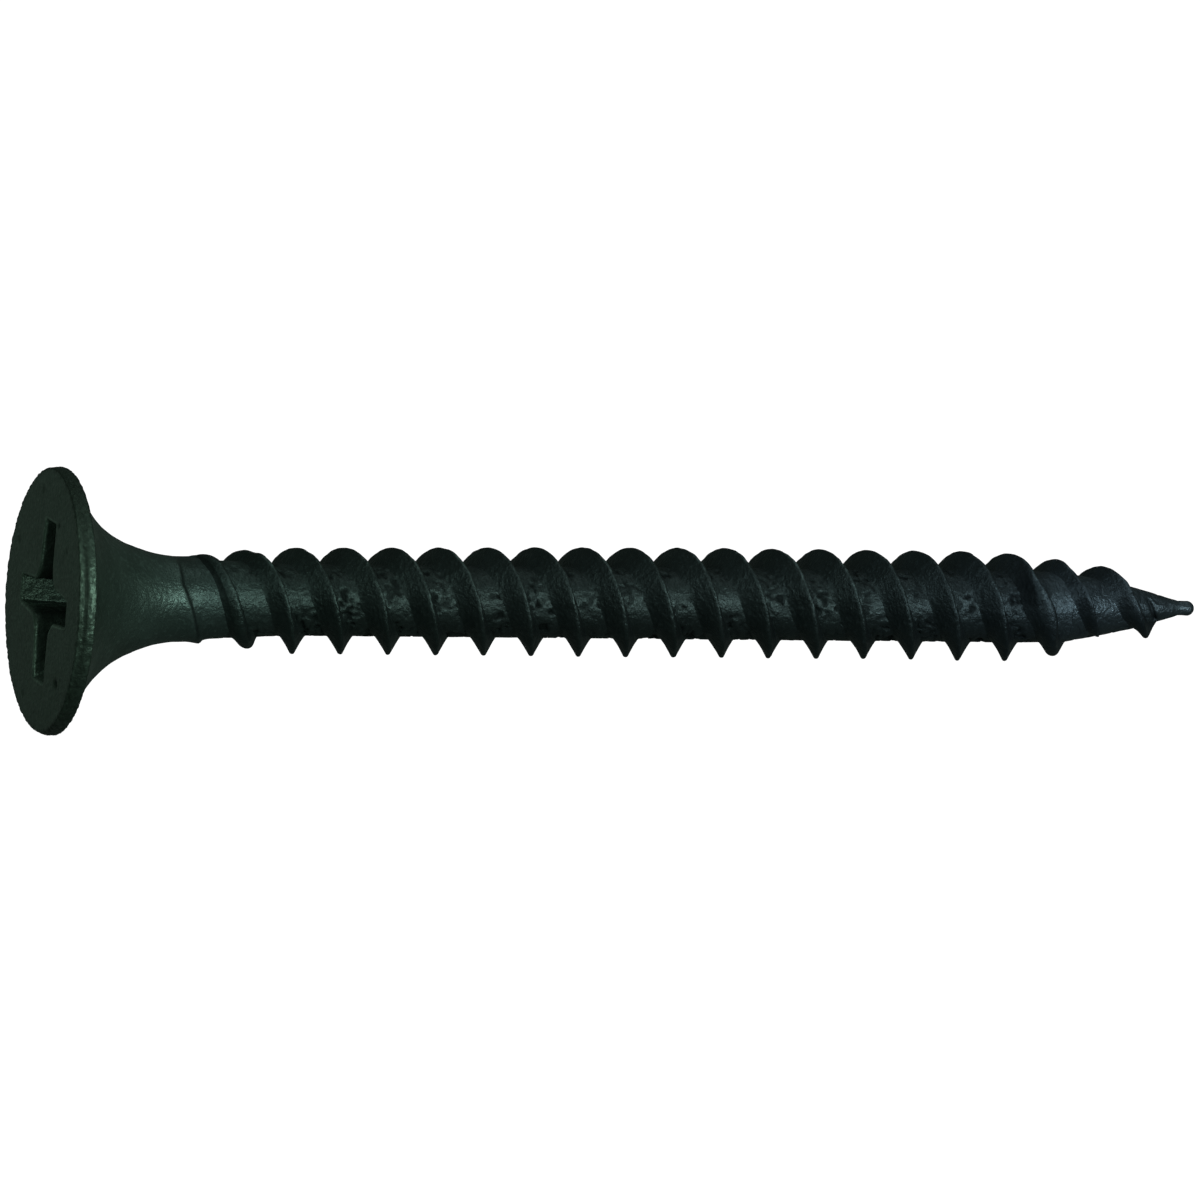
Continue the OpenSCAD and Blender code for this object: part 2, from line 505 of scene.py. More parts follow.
def head_circle(radius):
    """Round outline of the head, as (Y, Z) points before the recess is turned."""
    turn = turns(HEAD_SIDES)[0] - RECESS_TURN
    return np.stack([radius * np.cos(turn), radius * np.sin(turn)], axis=-1)


def rim_line(turn):
    """Rim from the back edge to the face, as (place, radii, groove): a back bead, a groove and a front bead.

    The groove is deepest at the sides and all but rubbed away at the top and bottom.
    """
    line = []
    deep = 0.12 + 0.88 * np.abs(np.cos(turn)) ** 7
    for x in np.linspace(RIM_END_X - 0.01, EDGE_X + FRONT_ROUND_X, RIM_RINGS):
        crown = (RIM_R - RIM_END_R) * smooth_step((x - BACK_ROUND_X) / (RIM_END_X - BACK_ROUND_X)) ** 2
        groove = hump(x, GROOVE_X, GROOVE_W) * deep
        line.append((x, RIM_R - crown - GROOVE_DEPTH * groove, groove))
    for sine, cosine in arc(0, 90, 10)[1:-1]:
        line.append((EDGE_X + FRONT_ROUND_X * (1 - sine), RIM_R - FRONT_ROUND_R * (1 - cosine), 0.0))
    return line


def rim_rubbed(x, turn):
    """How far the front of the rim is rubbed down at this place and turn."""
    front = np.clip((RUBBED_X - x) / RUBBED_L, 0, 1) ** 2
    return front * (RUBBED_DEPTH + LOW_RUBBED_DEPTH * (1 - np.sin(turn)) / 2)


def add_underside(skin):
    """The hollow underside, from the head's back end to the rim."""
    for x in np.linspace(HEAD_END_X, RIM_END_X, UNDERSIDE_RINGS):
        skin.add(x, head_circle(float(bugle_radius(x))))


def add_rim(skin):
    """The rim. Its beads get a painted highlight at the sides, and painted shade darkens its groove and its
    upper part.
    """
    turn = turns(HEAD_SIDES)[0]
    to_sides = np.abs(np.cos(turn)) ** 5
    # Painted shade: the rim's upper part is darker
    painted_shade = RIM_TOP_SHADE * smooth_step((np.sin(turn) - 0.35) / 0.3)
    for x, radius, groove in rim_line(turn):
        # Painted highlight on the rim and its beads, strongest at the sides
        front_bead = FRONT_BEAD_SHARE * hump(x, FRONT_BEAD_X, FRONT_BEAD_W)
        beads = (hump(x, BACK_BEAD_X, BACK_BEAD_W) + front_bead) * to_sides
        polish = RIM_POLISH + SIDE_HIGHLIGHT * to_sides + BEAD_HIGHLIGHT * beads
        # The groove is also darkened as painted shade, deepest at the sides
        skin.add(x, head_circle(radius - rim_rubbed(x, turn)), pits=np.maximum(groove, painted_shade), polish=polish)


def add_face(skin, around):
    """The face, darker at its top and bottom by painted shade, and the rounded edge of the recess, which is
    rubbed bright and given a painted highlight.
    """
    turn = turns(HEAD_SIDES)[0]
    outer = head_circle(RIM_R - FRONT_ROUND_R - rim_rubbed(EDGE_X, turn))
    inner = recess_outline(around, RECESS_EDGE, RECESS_EDGE)
    # Painted shade: the face is darker towards its top and bottom
    polish = FACE_POLISH - FACE_TOP_BOTTOM_SHADE * np.sin(turn) ** 2
    for share in np.linspace(0, 1, FACE_RINGS)[:-1]:
        fall = FACE_FALL * (1 - smooth_step(share / 0.45))
        skin.add(FACE_X + fall, outer + (inner - outer) * share ** 0.85, polish=polish)
    for sine, cosine in arc(90, 0, 7):
        edge = recess_outline(around, RECESS_EDGE, RECESS_EDGE * (1 - cosine))
        # The recess's edge is worn, and a painted highlight brightens it further
        polish = 1 + EDGE_RUB_AND_HIGHLIGHT * math.sqrt(max(sine, 0))
        skin.add(FACE_X + RECESS_EDGE * (1 - sine), edge, wear=sine, polish=polish)


def add_recess(skin, around):
    """The recess's leaning walls, with painted shade in the corners between its wings, and its dipped bottom.
    """
    fold = np.abs(np.mod(around + math.pi / 4, math.pi / 2) - math.pi / 4)
    # Painted shade in the corners between the wings, growing with depth
    painted_shade = RECESS_CORNER_SHADE * smooth_step((fold - 0.2) / 0.1)
    for depth in np.concatenate([[RECESS_EDGE + 0.04], np.linspace(0.2, WING_DEPTH, WALL_RINGS)]):
        skin.add(depth, recess_outline(around, depth), pits=painted_shade * smooth_step(depth / 0.35))
    bottom = recess_outline(around, WING_DEPTH)
    for share in (0.85, 0.65, 0.45, 0.28, 0.14, 0.05):
        skin.add(WING_DEPTH + BOTTOM_DIP * (1 - share), RECESS_MIDDLE + (bottom - RECESS_MIDDLE) * share)


def head_skin():
    """Rings of the head with their masks, from its back end round the rim and the face into the recess."""
    skin = Skin()
    around = recess_turns()
    add_underside(skin)
    add_rim(skin)
    add_face(skin, around)
    add_recess(skin, around)
    masks = {label: np.array(values) for label, values in skin.masks.items()}
    return turned_about_axis(np.array(skin.rings), RECESS_TURN), masks


def head_zones(points):
    """How far each point is on the rim, and how far it is inside the recess, from 0 to 1."""
    x = points[..., 0]
    radius = np.hypot(points[..., 1], points[..., 2])
    on_rim = smooth_step((radius - RIM_END_R + 0.15) / 0.1)
    in_recess = smooth_step((x - 0.1) / 0.1) * (radius < WING_L + 0.3 - WING_LEAN * x)
    return on_rim, in_recess


def head_dents(points):
    """Depth of the dents at each point, and how much darker they are."""
    depth = np.zeros(points.shape[:2])
    dent_darkening = np.zeros(points.shape[:2])
    for middle, half_w, deep in HEAD_DENTS:
        dent = np.exp(-((points - np.array(middle)) ** 2).sum(axis=-1) / half_w ** 2)
        depth += deep * dent
        dent_darkening = np.maximum(dent_darkening, dent * deep * DARKER_PER_MM)
    return depth, dent_darkening


def make_head():
    """Flat face with the cross recess, a beaded rim and the hollow underside."""
    points, masks = head_skin()
    on_rim, in_recess = head_zones(points)
    rough = waves(points, HEAD_WAVES)
    rough += (waves(points, RIM_WAVES) - 0.010) * on_rim
    rough += waves(points, RECESS_WAVES) * in_recess
    # The waves only sink into the steel, and they fade out where the neck begins
    fade = smooth_step((HEAD_END_X - points[..., 0]) / 0.3)
    dents, dent_darkening = head_dents(points)
    sunk = np.minimum(rough - 0.006, 0) * fade - dents
    specks = RIM_SPECKS * smooth_step((relief(points, 0.13, 16) - 0.02) / 0.2) * on_rim
    masks["pits"] = np.maximum(np.maximum(masks["pits"], specks), dent_darkening)
    # The head's rings run the other way, from the neck to the face
    outward = -ring_normals(points)
    return make_piece("bugle_head", head_leaned(points + outward * sunk[..., None]), **masks)


# ---------------------------------------------------------------- neck, core and point

SHANK_WAVES = [(0.9, 0.008, 3), (0.25, 0.006, 4)]
POINT_WAVES = [(0.5, 0.014, 5), (0.2, 0.008, 6)]
TORN_DEPTH = 0.075
CREASE_DEPTH = 0.02
# Torn streaks and cracks are drawn out round the screw
STREAK_STRETCH = np.array([1.0, 0.75, 0.75])
CRACK_STRETCH = np.array([1.0, 0.8, 0.8])
# How much darker the point's creases are, painted shade along the dies' edge, and how much duller the neck is
# where it is rolled
CREASE_DARKENING = 0.55
DIE_EDGE_SHADE = 0.8
DIE_EDGE_SHADE_W = 0.07
ROLLED_DULL = 0.25
# Points round each ring, and rings along each part
NECK_SIDES = 192
CORE_SIDES = 144
POINT_SIDES = 128
NECK_RINGS = 60
CORE_RINGS = 521
CONE_RINGS = 120


def root_damage(points):
    """Depth of the torn places, dents and fine cracks in the root."""
    x = points[..., 0]
    streaks = relief(points * STREAK_STRETCH, 0.24, 7) + 0.5 * relief(points, 0.13, 8)
    cracks = veins(points * CRACK_STRETCH, 0.45, 13, 0.13)
    patches = smooth_step(0.6 + relief(points, 1.1, 9) * 1.6)
    torn = np.maximum(smooth_step((streaks - 0.16) / 0.35), 0.6 * cracks) * patches
    begins = smooth_step((x - THREAD_X - 0.5) / 1.5)
    ends = 1 - 0.75 * smooth_step((x - CONE_X + 1.2) / 0.6)
    return TORN_DEPTH * torn * begins * ends


def shank_surface(places, sides):
    """Rings of the blank at these places along the axis, with the rolled groove, slight waves and damage."""
    x = np.array(places)[:, None]
    turn = turns(sides)
    radius = core_radius(x, turn)
    smooth = on_screw(x, radius, turn)
    damage = root_damage(smooth)
    # Painted shade lies along the dies' edge on the camera's side
    near_side = smooth_step((turn - 2.2) / 0.3) * smooth_step((4.4 - turn) / 0.3)
    painted_shade = DIE_EDGE_SHADE * hump(x, roll_start_x(turn) + 0.04, DIE_EDGE_SHADE_W) * near_side
    surface = on_screw(x, radius + waves(smooth, SHANK_WAVES) - damage, turn)
    return surface, np.maximum(damage * ROOT_DARKER_PER_MM, painted_shade)


def make_neck():
    """End of the hollow curve and the short plain shank."""
    places = np.linspace(HEAD_END_X, THREAD_X, NECK_RINGS)
    points, pits = shank_surface(places, NECK_SIDES)
    rolled = smooth_step((places[:, None] - roll_start_x(turns(NECK_SIDES)) + 0.05) / 0.1)
    return make_piece("plain_neck", head_leaned(points), pits=pits, polish=1 - ROLLED_DULL * rolled)


# The core is shinier at both its ends
CORE_POLISH = [
    (THREAD_X, 1.45),
    (THREAD_X + 1.2, 1.35),
    (THREAD_X + 3.0, 1.0),
    (CONE_X - 0.9, 1.0),
    (CONE_X - 0.4, 1.5),
    (CONE_X, 1.6),
]


def make_core():
    """Rolled core between the ridges."""
    places = np.linspace(THREAD_X, CONE_X, CORE_RINGS)
    points, pits = shank_surface(places, CORE_SIDES)
    polish = np.broadcast_to(along(CORE_POLISH, places)[:, None], pits.shape)
    return make_piece("rolled_core", points, pits=pits, polish=polish)


def crack_depth(x, turn):
    """Depth of the groove where the steel was pinched off, behind the last ridge."""
    line = CRACK_X + CRACK_SLANT * (turn - math.pi) / (math.pi / 2)
    reach = smooth_step((turn - CRACK_FROM) / 0.3) * smooth_step((CRACK_TO - turn) / 0.3)
    return CRACK_DEPTH * hump(x, line, CRACK_W) * reach


def point_line():
    """Places and radii along the cone, the nib and its round end, each as one column."""
    cone = np.linspace(CONE_X, CONE_END_X, CONE_RINGS)
    nib = np.linspace(CONE_END_X, TIP_X - NIB_R, 8)[1:]
    sines, cosines = zip(*arc(0, 86, 10)[1:])
    places = np.concatenate([cone, nib, TIP_X - NIB_R + NIB_R * np.array(sines)])
    radii = np.concatenate([along(ROOT_PROFILE, cone), np.full(len(nib), NIB_R), NIB_R * np.array(cosines)])
    return places[:, None], radii[:, None]


def make_point():
    """Cone with a crack behind its last ridge, and the round-ended nib."""
    x, radius = point_line()
    turn = turns(POINT_SIDES)
    smooth = on_screw(x, radius, turn)
    uneven = waves(smooth, POINT_WAVES) * smooth_step((TIP_X - x) / 0.2)
    crack = crack_depth(x, turn)
    creases = veins(smooth, 0.55, 14, 0.1) * smooth_step((CONE_END_X - x) / 1.0)
    surface = on_screw(x, radius + uneven - crack - CREASE_DEPTH * creases, turn)
    # The crack and the creases are darker, in step with their depth
    return make_piece("cone_point", surface, pits=np.maximum(crack * DARKER_PER_MM, CREASE_DARKENING * creases))


# ---------------------------------------------------------------- ridges

RINGS_PER_TURN = 112

# Places where the dies folded or nicked a ridge: place along the axis, half width, lean, height and roundness
FOLDS_A = [
    (5.40, 0.20, 0.04, 0.05, 0.0),
    (6.78, 0.27, 0.08, -0.03, 0.30),
    (31.1, 0.10, 0.03, -0.02, 0.0),
    (33.90, 0.22, -0.04, -0.11, 0.0),
]
FOLDS_B = [
    (5.16, 0.30, 0.0, -0.03, 0.0),
    (6.45, 0.16, -0.03, 0.08, 0.0),
    (6.82, 0.09, 0.0, -0.07, 0.0),
    (32.42, 0.10, -0.06, 0.0, 0.0),
    (32.80, 0.24, 0.08, -0.02, 0.22),
    (33.48, 0.25, 0.03, -0.01, 0.16),
    (34.70, 0.15, 0.0, 0.07, 0.0),
    (35.90, 0.35, 0.0, -0.02, 0.10),
]

# Where painted shade lies on each ridge's flanks: place along the axis, half width, and how much on each side
FLANK_SHADE_A = (5.55, 0.55, 0.75, 0.0)
FLANK_SHADE_B = (32.55, 0.30, 0.9, 0.9)

# The crests get a painted highlight that is strongest at this turn, and real wear of at least this much all
# round
CREST_HIGHLIGHT_TURN = math.radians(130)
LEAST_RUBBED = 0.35

# Columns of half_section that lie on the foot and the flank, below the rounded crest
FLANK_COLUMNS = 7


def camera_side(turn):
    """1 on the side towards the camera, falling to 0 at the top and bottom."""
    return np.maximum(-np.cos(turn), 0)


def half_section(height, round_r):
    """One side of a ridge, from the foot to the crest, as (distance along the axis, height, wear) columns."""
    round_r = np.minimum(round_r, height * 0.8)
    base_w = (height + round_r) * FLANK
    fillet = np.minimum(FOOT_FILLET, height * 0.2)
    columns = [
        (base_w + fillet + 0.03, 0 * height - FOOT_SINK, 0.0),
        (base_w + fillet * 0.8, 0 * height - 0.004, 0.0),
        (base_w + fillet * 0.25, fillet * 0.2, 0.0),
        (base_w - fillet * 0.35, fillet * 0.8, 0.0),
    ]
    top = height - round_r * 0.5
    for share in (0.25, 0.5, 0.75):
        up = fillet + (top - fillet) * share
        columns.append((base_w - up * FLANK, up, 0.0))
    for sine, cosine in arc(60, 6, 6):
        columns.append((round_r * sine, height - round_r * (1 - cosine), cosine ** 3))
    return columns


def ridge_side(x, turn, height, side, lean, round_r):
    """Points and wear on a ridge's side. The foot follows the core, and the crest keeps its own radius."""
    points = []
    wear = []
    for out, up, worn in half_section(height, round_r):
        share = np.clip(up / height, 0, 1)
        place = x + side * out + lean * share - FOOT_BACK * camera_side(turn) * (1 - share)
        base = along(ROOT_PROFILE, place) * (1 - share) + along(ROOT_PROFILE, x) * share
        points.append(on_screw(place, base + up, turn))
        wear.append(np.full(len(x), worn))
    return points, wear


def crest_radius(x, turn):
    """Radius of the crest, which stands higher at the top than at the bottom of each turn."""
    return along(CREST_PROFILE, x) + along(UPPER_LIFT, x) * (1 + np.sin(turn)) / 2


def ridge_line(top_x, end_x):
    """Turns along a ridge, and the places along the axis of an even helix through them."""
    first = math.ceil((DIE_X + 0.1 - top_x) / LEAD * RINGS_PER_TURN)
    last = math.floor((end_x - top_x) / LEAD * RINGS_PER_TURN)
    steps = np.arange(first, last + 1)
    return math.pi / 2 + steps * 2 * math.pi / RINGS_PER_TURN, top_x + LEAD * steps / RINGS_PER_TURN


def fold_marks(even_x, folds):
    """Extra lean, height and roundness along a ridge from its folds."""
    marks = np.zeros((3, len(even_x)))
    for place, half_w, *amounts in folds:
        marks += np.outer(amounts, hump(even_x, place, half_w))
    return marks


def crest_rounding(even_x):
    """Radius of the crest's edge, which is blunt where the ridge runs in and a little so on the cone."""
    blunt = 1 - smooth_step((even_x - THREAD_X) / 3.0) + 0.15 * smooth_step((even_x - CONE_X + 1.5) / 2.5)
    return CREST_ROUND + BLUNT_ROUND * blunt


def flank_shade(even_x, columns, painted_shade):
    """Painted shade on the flanks of a ridge, for each place along it and each column of its section."""
    place, half_w, left, right = painted_shade
    column = np.arange(columns)
    on_flanks = left * (column < FLANK_COLUMNS) + right * (column[::-1] < FLANK_COLUMNS)
    return hump(even_x, place, half_w)[:, None] * on_flanks[None, :]


def make_ridge(name, top_x, end_x, folds, painted_shade, seed):
    """One right-handed ridge, swept along the core from the dies' edge to where it runs out."""
    turn, even_x = ridge_line(top_x, end_x)
    x = even_x + WANDER * np.sin(turn)
    crest = crest_radius(x, turn)
    here = on_screw(x, crest, turn)
    folded, raised, rounded = fold_marks(even_x, folds)
    grown = smooth_step((even_x - THREAD_X) / RUN_IN_L) * smooth_step((end_x - even_x) / RUN_OUT_L)
    run_out = np.clip((end_x + 0.1 - even_x) / RUN_OUT_L, 0, 1)
    uneven = (waves(here, [(0.9, 0.012, seed), (0.25, 0.014, seed + 1)]) - 0.006) * grown
    lean = waves(here, [(0.8, 0.025, seed + 2), (0.25, 0.03, seed + 3)])
    lean += (CREST_LEAN - FOOT_BACK) * camera_side(turn) * grown + folded
    height = np.maximum((crest - along(ROOT_PROFILE, x)) * run_out + uneven + raised, 0.02)
    round_r = crest_rounding(even_x) + rounded
    left, left_wear = ridge_side(x, turn, height, -1, lean, round_r)
    right, right_wear = ridge_side(x, turn, height, 1, lean, round_r)
    points = np.stack(left + right[::-1], axis=1)
    # The crest's wear is real all round, and a painted highlight makes it strongest on the camera's side,
    # above the middle
    towards = np.maximum(np.cos(turn - CREST_HIGHLIGHT_TURN), 0)
    rubbed = (LEAST_RUBBED + (1 - LEAST_RUBBED) * towards) * run_out
    wear = np.stack(left_wear + right_wear[::-1], axis=1) * rubbed[:, None]
    return make_piece(name, points, wear=wear, pits=flank_shade(even_x, points.shape[1], painted_shade))


# ---------------------------------------------------------------- materials

PER_MM = 1000.0

# Noise in the materials: grains to the millimetre, and layers of detail
PATCHES = (0.8, 3.0)
UNEVEN_WEAR = (1.4, 2.0)
CRYSTALS = (7.0, 4.0)
FINE_BUMPS = (17.0, 1.0)
PAPER_MOTTLE = (0.02, 2.0)

# The mask of dirt and painted shade is full at this value; there this share of the brightness and the shine
# is left, and this much roughness is added
DIRT_AND_SHADE_FULL = 0.8
DIRT_AND_SHADE_BRIGHT = 0.25
DIRT_AND_SHADE_SHINE = 0.5
DIRT_AND_SHADE_ROUGH = 0.25
# How far the roughness varies either way
ROUGH_VARIES = 0.06

PAPER_DARK = (0.78, 0.78, 0.78, 1)
PAPER_LIGHT = (0.8, 0.8, 0.8, 1)
# The paper's glow grows between these two distances, in millimetres, from the first strength to the second
GLOW_FROM = 60
GLOW_TO = 300
GLOW_NEAR = 0.88
GLOW_FAR = 1.05


def add_node(tree, kind, inputs=None, **settings):
    """A node with these settings. An input is a value, or another node's output to link."""
    made = tree.nodes.new(kind)
    for name, value in settings.items():
        setattr(made, name, value)
    for name, value in (inputs or {}).items():
        if isinstance(value, bpy.types.NodeSocket):
            tree.links.new(value, made.inputs[name])
        else:
            made.inputs[name].default_value = value
    return made


def object_place(tree):
    """Place on the piece, in its own frame."""
    return add_node(tree, "ShaderNodeTexCoord").outputs["Object"]


def mask(tree, label):
    """One of the mesh's masks."""
    return add_node(tree, "ShaderNodeAttribute", attribute_name=label).outputs["Fac"]


def grain(tree, vector, per_mm, detail):
    """Noise with this many grains to the millimetre."""
    made = add_node(tree, "ShaderNodeTexNoise", {
        "Vector": vector, "Scale": per_mm * PER_MM, "Detail": detail,
    })
    return made.outputs["Fac"]


def spread(tree, value, low, high, to_low=0.0, to_high=1.0):
    """A value from low to high, stretched to another range and clamped to it."""
    made = add_node(tree, "ShaderNodeMapRange", {
        "Value": value, "From Min": low, "From Max": high, "To Min": to_low, "To Max": to_high,
    })
    return made.outputs["Result"]


def combine(tree, operation, a, b):
    """Two values added, multiplied or otherwise combined."""
    made = add_node(tree, "ShaderNodeMath", {0: a, 1: b}, operation=operation)
    return made.outputs["Value"]


def blend_colour(tree, share, under, over):
    """A mix of two colours."""
    made = add_node(tree, "ShaderNodeMix", {0: share, 6: under, 7: over}, data_type="RGBA")
    return made.outputs[2]


# Hue of the coat at places from the head to the point: greener at the head and bluer at the point
HUES = [
    (0.0, (0.56, 1.0, 0.72)),
    (5.0, (0.57, 1.0, 0.87)),
    (10.0, (0.60, 1.0, 0.88)),
    (15.0, (0.63, 1.0, 0.93)),
    (26.0, (0.64, 1.0, 0.99)),
    (34.0, (0.66, 1.0, 1.20)),
    (38.0, (0.68, 1.0, 1.15)),
]


def hue_along(tree, place):
    """Hue of the coat at this place along the axis."""
    x = add_node(tree, "ShaderNodeSeparateXYZ", {"Vector": place}).outputs["X"]
    ramp = add_node(tree, "ShaderNodeValToRGB", {"Fac": spread(tree, x, 0.0, TIP_X * MM)})
    stops = ramp.color_ramp.elements
    while len(stops) < len(HUES):
        stops.new(0.5)
    for stop, (at, hue) in zip(stops, HUES):
        stop.position = at / HUES[-1][0]
        stop.color = (*hue, 1)
    return ramp.outputs["Color"]


def scaled_hue(tree, hue, scale):
    """The hue made this bright."""
    made = add_node(tree, "ShaderNodeVectorMath", {0: hue, "Scale": scale}, operation="SCALE")
    return made.outputs["Vector"]


def coat_brightness(tree, place, fine, deep, plain, crystal, bare):
    """Brightness of the coat: patches from deep to plain, paler crystals, and bare steel where it is worn and
    where a highlight is painted on.
    """
    patches = spread(tree, grain(tree, place, *PATCHES), 0.35, 0.65, deep, plain)
    crystals = spread(tree, fine, 0.54, 0.72, 0.0, crystal)
    uneven = spread(tree, grain(tree, place, *UNEVEN_WEAR), 0.38, 0.62, 0.5, 1.05)
    # The wear mask holds real wear and a painted highlight on the crests
    rubbed = combine(tree, "MULTIPLY", mask(tree, "wear"), uneven)
    worn_through_and_lit = combine(tree, "ADD", rubbed, combine(tree, "MULTIPLY", fine, 1.2))
    bared_and_lit = spread(tree, worn_through_and_lit, 1.2, 1.8, 0.0, bare)
    return combine(tree, "ADD", combine(tree, "ADD", patches, crystals), bared_and_lit)


def coat_bump(tree, place, fine, bumpy):
    """Normal of the coat's grains, which stand this high in millimetres."""
    height = combine(tree, "ADD", fine, combine(tree, "MULTIPLY", grain(tree, place, *FINE_BUMPS), 0.4))
    made = add_node(tree, "ShaderNodeBump", {"Height": height, "Strength": 0.9, "Distance": bumpy * MM})
    return made.outputs["Normal"]


def phosphate(name, deep, plain, crystal, bare, roughness, gloss, bumpy=0.045):
    """Black phosphated steel: a fine-grained dark coat with paler crystals, thinner where it is rubbed and
    where a highlight is painted on.

    Dirt and painted shade make it darker and duller, and another mask, with painted highlight and shade in
    it, says how bright the rest is.
    """
    material = bpy.data.materials.new(name)
    material.use_nodes = True
    tree = material.node_tree
    shader = tree.nodes["Principled BSDF"]
    place = object_place(tree)
    hue = hue_along(tree, place)
    fine = grain(tree, place, *CRYSTALS)
    pits = mask(tree, "pits")
    polish = mask(tree, "polish")
    bright = coat_brightness(tree, place, fine, deep, plain, crystal, bare)
    bright = combine(tree, "MULTIPLY", bright, spread(tree, pits, 0.0, DIRT_AND_SHADE_FULL, 1.0, DIRT_AND_SHADE_BRIGHT))
    bright = combine(tree, "MULTIPLY", bright, combine(tree, "MULTIPLY", polish, polish))
    shine = combine(tree, "MULTIPLY", spread(tree, pits, 0.0, DIRT_AND_SHADE_FULL, 1.0, DIRT_AND_SHADE_SHINE), polish)
    rough = spread(tree, fine, 0.3, 0.7, roughness + ROUGH_VARIES, roughness - ROUGH_VARIES)
    rough = combine(tree, "ADD", rough, spread(tree, pits, 0.0, DIRT_AND_SHADE_FULL, 0.0, DIRT_AND_SHADE_ROUGH))
    tree.links.new(scaled_hue(tree, hue, bright), shader.inputs["Base Color"])
    tree.links.new(scaled_hue(tree, hue, shine), shader.inputs["Specular Tint"])
    tree.links.new(rough, shader.inputs["Roughness"])
    tree.links.new(coat_bump(tree, place, fine, bumpy), shader.inputs["Normal"])
    shader.inputs["Specular IOR Level"].default_value = gloss
    return material


def head_steel():
    """Coat of the head and the plain shank."""
    return phosphate("head_steel", deep=0.018, plain=0.030, crystal=0.026, bare=0.05,
                     roughness=0.42, gloss=0.8, bumpy=0.032)


def thread_steel():
    """Darker and rougher coat of the rolled part."""
    return phosphate("thread_steel", deep=0.006, plain=0.010, crystal=0.010, bare=0.05,
                     roughness=0.46, gloss=0.42)


def point_steel():
    """Coat of the point, polished by the dies that pinched it off."""
    return phosphate("point_steel", deep=0.010, plain=0.016, crystal=0.016, bare=0.05,
                     roughness=0.42, gloss=0.8)


def floor_paper():
    """Pale matt paper with a faint mottle.

    It glows a little, more so far away, so that it stays light all over.
    """
    material = bpy.data.materials.new("floor_paper")
    material.use_nodes = True
    tree = material.node_tree
    shader = tree.nodes["Principled BSDF"]
    place = object_place(tree)
    mottle = spread(tree, grain(tree, place, *PAPER_MOTTLE), 0.3, 0.7)
    colour = blend_colour(tree, mottle, PAPER_DARK, PAPER_LIGHT)
    away = add_node(tree, "ShaderNodeVectorMath", {0: place}, operation="LENGTH").outputs["Value"]
    tree.links.new(colour, shader.inputs["Base Color"])
    glow = spread(tree, away, GLOW_FROM * MM, GLOW_TO * MM, GLOW_NEAR, GLOW_FAR)
    tree.links.new(glow, shader.inputs["Emission Strength"])
    shader.inputs["Emission Color"].default_value = (1, 1, 1, 1)
    shader.inputs["Roughness"].default_value = 0.9
    return material


# ---------------------------------------------------------------- stage, lights and camera

AZIMUTH = math.radians(-17.35)
ROLL = math.radians(0.531)
FRAME_W = 37.93
CAMERA_AWAY = 1100.0
SENSOR_W = 36.0
# The picture's centre is this far to the right of the screw's middle and above it, in millimetres
AIM_RIGHT = -0.638
AIM_UP = 0.097
SCREW_MIDDLE = Vector((TIP_X / 2, 0, 0))

FLOOR_R = 3000.0
FLOOR_SIDES = 96

ROOM = (0.048, 0.060, 0.053, 1)
SCREEN = (1.1, 1.1, 1.1, 1)
# Angles from straight ahead at which the screen begins and is at its full brightness
SCREEN_EDGE = math.radians(4)
SCREEN_FULL = math.radians(2.5)

LIGHTS_AWAY = 600
WHITE = (1.0, 1.0, 1.0)
PALE_GREEN = (0.66, 1.0, 0.80)
# Soft boxes: name, azimuth and elevation in degrees, width, height, watts and colour
SOFTBOXES = [
    ("key", 16, 3, 260, 110, 2.4, WHITE),
    ("fill", -45, 10, 300, 300, 0.8, WHITE),
    ("top", 20, 75, 300, 300, 0.4, WHITE),
    ("behind", -150, 8, 200, 200, 0.024, PALE_GREEN),
]


def make_floor():
    """A round floor that the head's rim touches. It doesn't light the screw from below."""
    radius = FLOOR_R * MM
    ring = [(math.cos(turn) * radius, math.sin(turn) * radius, 0) for turn in turns(FLOOR_SIDES)[0]]
    mesh = bpy.data.meshes.new("floor")
    mesh.from_pydata(ring, [], [list(range(FLOOR_SIDES))])
    mesh.materials.append(floor_paper())
    floor = bpy.data.objects.new("floor", mesh)
    floor.location.z = -(HEAD_R + HEAD_DROP) * MM
    floor.visible_diffuse = False
    floor.visible_glossy = False
    bpy.context.scene.collection.objects.link(floor)


def make_world():
    """A dim room with a small white screen on the horizon, behind the screw as the camera sees it."""
    world = bpy.data.worlds.new("studio")
    bpy.context.scene.world = world
    world.use_nodes = True
    tree = world.node_tree
    direction = add_node(tree, "ShaderNodeTexCoord").outputs["Generated"]
    ahead = (-math.sin(AZIMUTH), math.cos(AZIMUTH), 0)
    facing = add_node(tree, "ShaderNodeVectorMath", {0: direction, 1: ahead}, operation="DOT_PRODUCT")
    on_screen = spread(tree, facing.outputs["Value"], math.cos(SCREEN_EDGE), math.cos(SCREEN_FULL))
    light = blend_colour(tree, on_screen, ROOM, SCREEN)
    tree.links.new(light, tree.nodes["Background"].inputs["Color"])


def direction_from(azimuth, elevation):
    """Unit vector from the screw towards a place round it. Azimuth 0 is -Y, and it grows towards +X."""
    a, e = math.radians(azimuth), math.radians(elevation)
    return Vector((math.sin(a) * math.cos(e), -math.cos(a) * math.cos(e), math.sin(e)))


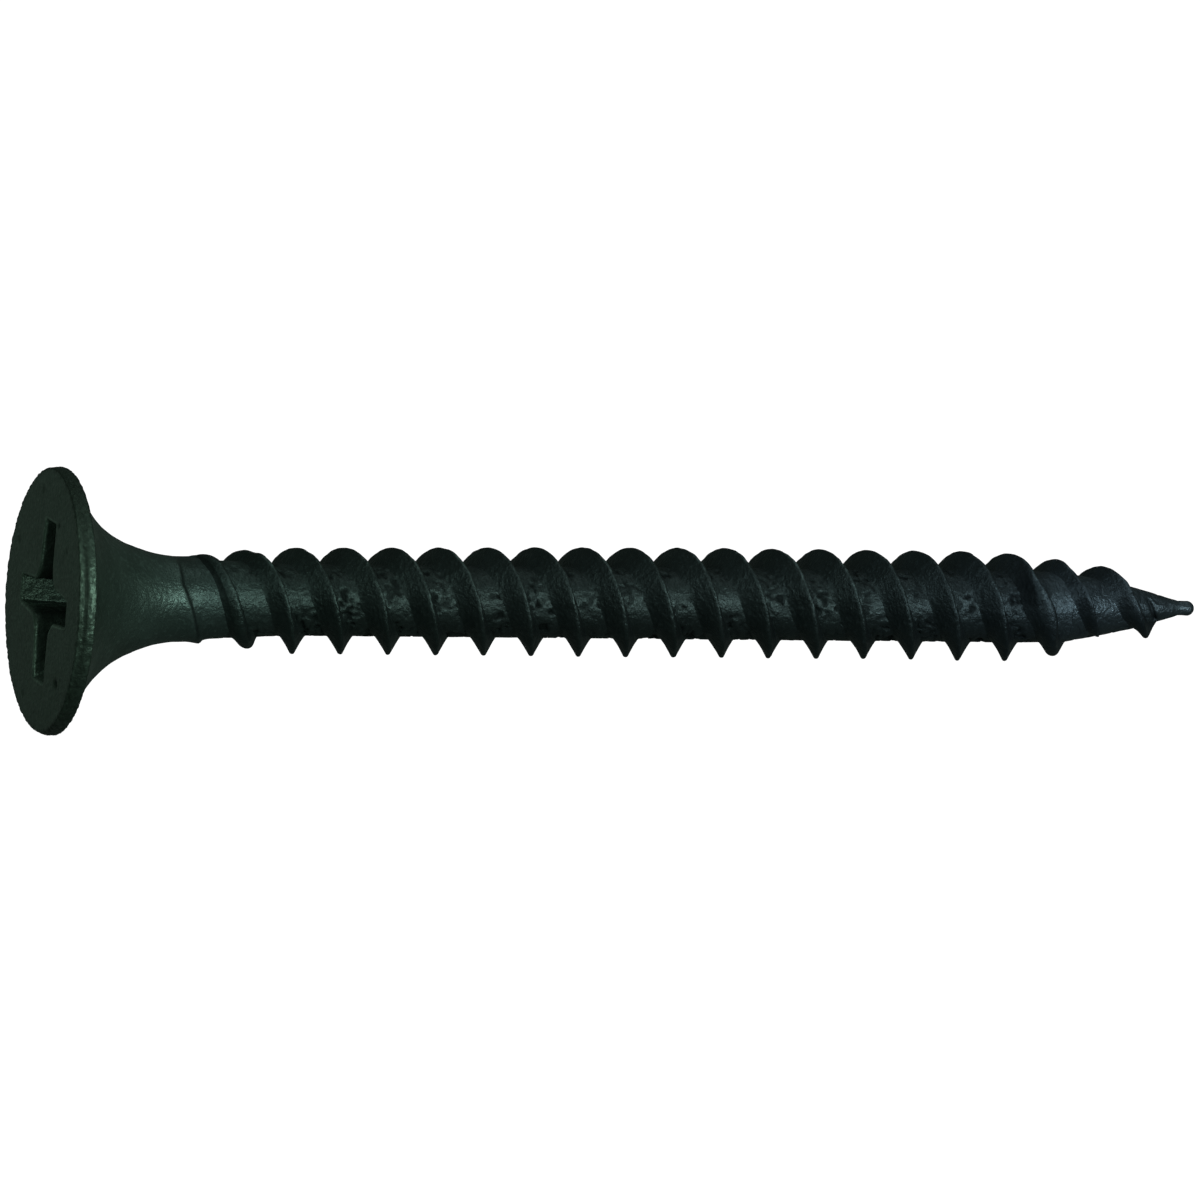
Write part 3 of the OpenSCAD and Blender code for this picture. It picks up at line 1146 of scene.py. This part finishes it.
def make_softbox(name, azimuth, elevation, width, height, watts, colour):
    """A soft box that faces the middle of the screw."""
    towards = direction_from(azimuth, elevation)
    light = bpy.data.lights.new(name, "AREA")
    light.shape = "RECTANGLE"
    light.size = width * MM
    light.size_y = height * MM
    light.energy = watts
    light.color = colour
    lamp = bpy.data.objects.new(name, light)
    lamp.location = (SCREW_MIDDLE + towards * LIGHTS_AWAY) * MM
    lamp.rotation_euler = (-towards).to_track_quat("-Z", "Y").to_euler()
    bpy.context.scene.collection.objects.link(lamp)


def make_lights():
    """All the soft boxes."""
    for softbox in SOFTBOXES:
        make_softbox(*softbox)


def make_camera():
    """A long lens on the level of the screw, looking from the head's side and turned slightly."""
    back = Vector((math.sin(AZIMUTH), -math.cos(AZIMUTH), 0))
    level = Vector((math.cos(AZIMUTH), math.sin(AZIMUTH), 0))
    upright = Vector((0, 0, 1))
    right = level * math.cos(ROLL) + upright * math.sin(ROLL)
    up = upright * math.cos(ROLL) - level * math.sin(ROLL)
    aim = SCREW_MIDDLE + right * AIM_RIGHT + up * AIM_UP
    lens = bpy.data.cameras.new("camera")
    lens.sensor_width = SENSOR_W
    lens.lens = SENSOR_W * CAMERA_AWAY / FRAME_W
    lens.clip_start = 0.05
    lens.clip_end = 10.0
    camera = bpy.data.objects.new("camera", lens)
    facing = Matrix((right, up, back)).transposed().to_4x4()
    camera.matrix_world = Matrix.Translation((aim + back * CAMERA_AWAY) * MM) @ facing
    bpy.context.scene.collection.objects.link(camera)
    bpy.context.scene.camera = camera


# ---------------------------------------------------------------- assembly

def stand_in(piece, node, finish):
    """The piece replaces a CAD node and rides on its body, with the finish of a material slot."""
    piece.data.materials.append(finish)
    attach(piece, "root")
    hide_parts(node)


def build_screw():
    """The six regions of the screw."""
    head_coat = head_steel()
    thread_coat = thread_steel()
    stand_in(make_head(), "head", head_coat)
    stand_in(make_neck(), "neck", head_coat)
    stand_in(make_core(), "core", thread_coat)
    stand_in(make_point(), "point", point_steel())
    ridge_a = make_ridge("ridge_a", TOP_A_X, END_A_X, FOLDS_A, FLANK_SHADE_A, seed=20)
    stand_in(ridge_a, "thread_a", thread_coat)
    ridge_b = make_ridge("ridge_b", TOP_B_X, END_B_X, FOLDS_B, FLANK_SHADE_B, seed=30)
    stand_in(ridge_b, "thread_b", thread_coat)


make_camera()
make_floor()
make_world()
make_lights()
build_screw()
bpy.context.scene.view_settings.view_transform = "Standard"

bpy.context.view_layer.update()
